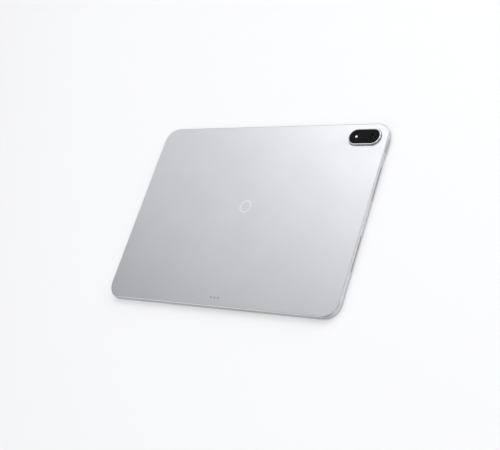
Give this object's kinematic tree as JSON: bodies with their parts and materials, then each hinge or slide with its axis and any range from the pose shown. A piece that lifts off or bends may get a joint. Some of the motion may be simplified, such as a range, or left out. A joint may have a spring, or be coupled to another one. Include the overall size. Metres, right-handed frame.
{
  "type": "tablet computer",
  "caption": "Thin silver tablet computer with a glass screen, a flat metal back, a raised pill-shaped camera island, dock contacts and side keys.",
  "frame": {"origin": "under the middle of the whole, on the surface the tablet lies on, at the face of the cover glass", "axes": "+Z out of the metal back, with the tablet lying on its screen; +Y along the long side towards the edge with the power key and the camera; -Y towards the USB port; +X across the short side, towards the dock contacts"},
  "size_m": [0.2104, 0.2904, 0.0077],
  "materials": {
    "aluminium_case": "fine bead-blasted, anodised silver",
    "island_metal": "satin side with a bright cut chamfer",
    "camera_glass": "polished black",
    "camera_black": "matt black",
    "lens_glass": "coated",
    "ribbon": "amber polyimide over copper",
    "flash_diffuser": "clear, moulded with fine rings",
    "circuit_board": "green solder mask",
    "emblem_metal": "polished inlay",
    "contact_gold": "pale plated",
    "grey_plastic": "fine matt",
    "magnet": "nickel-plated",
    "key_metal": "anodised silver with a bright chamfer",
    "shield_metal": "tinned",
    "bracket_metal": "plain pressed",
    "cover_glass": "clear, with a black printed border behind it",
    "black_rubber": "matt black",
    "black_plastic": "matt black",
    "display_panel": "dark, switched off",
    "backlight": "white light guide in a pressed tray",
    "chip_plastic": "matt moulded package",
    "copper": "bright copper",
    "graphite": "dark grey sheet",
    "battery_pouch": "matt silver laminate",
    "usb_metal": "nickel-plated",
    "mesh_black": "fine woven",
    "screw_steel": "plated"
  },
  "bodies": {
    "tablet": {"rear_housing": "aluminium_case", "camera_island": "island_metal", "camera_window": "camera_glass", "rear_camera": "camera_black", "rear_camera_lens": "lens_glass", "rear_camera_flex": "ribbon", "flash_lens": "flash_diffuser", "flash_board": "circuit_board", "emblem_ring": "emblem_metal", "dock_contacts": "contact_gold", "dock_insulator": "grey_plastic", "dock_board": "circuit_board", "dock_flex": "ribbon", "dock_magnets": "magnet", "power_switch": "shield_metal", "power_bracket": "bracket_metal", "volume_switches": "shield_metal", "volume_bracket": "bracket_metal", "cover_glass": "cover_glass", "glass_adhesive": "black_rubber", "display_trim": "black_plastic", "display_panel": "display_panel", "backlight_unit": "backlight", "display_flex": "ribbon", "front_camera": "camera_black", "front_camera_lens": "lens_glass", "light_sensor": "black_plastic", "main_board": "circuit_board", "processor": "chip_plastic", "processor_shield": "shield_metal", "memory_shield": "shield_metal", "radio_shield": "shield_metal", "heat_spreader": "copper", "graphite_sheet": "graphite", "battery_cell_left": "battery_pouch", "battery_cell_right": "battery_pouch", "battery_board": "circuit_board", "battery_flex": "ribbon", "usb_board": "circuit_board", "usb_shell": "usb_metal", "usb_tongue": "black_plastic", "link_flex": "ribbon", "speaker_meshes": "mesh_black", "microphones": "contact_gold", "antenna_left": "black_plastic", "antenna_right": "black_plastic", "antenna_cable_left": "black_rubber", "antenna_cable_right": "black_rubber", "stylus_coil": "copper", "stylus_magnets": "magnet", "board_screws": "screw_steel", "speaker_box_1": "black_plastic", "speaker_box_2": "black_plastic", "speaker_box_3": "black_plastic", "speaker_box_4": "black_plastic"},
    "power_button": {"power_key": "key_metal"},
    "volume_button": {"volume_rocker": "key_metal"}
  },
  "joints": [
    {"name": "power_press", "type": "slide", "parent": "tablet", "child": "power_button", "axis": [0, -1, 0], "range_m": [0, 0.0003], "stiffness_N_per_m": 4000},
    {"name": "volume_rock", "type": "hinge", "parent": "tablet", "child": "volume_button", "pos_m": [-0.10189, 0.08178, 0.0033], "axis": [0, 0, 1], "range_deg": [-1.2, 1.2], "stiffness_Nm_per_rad": 3}
  ]
}
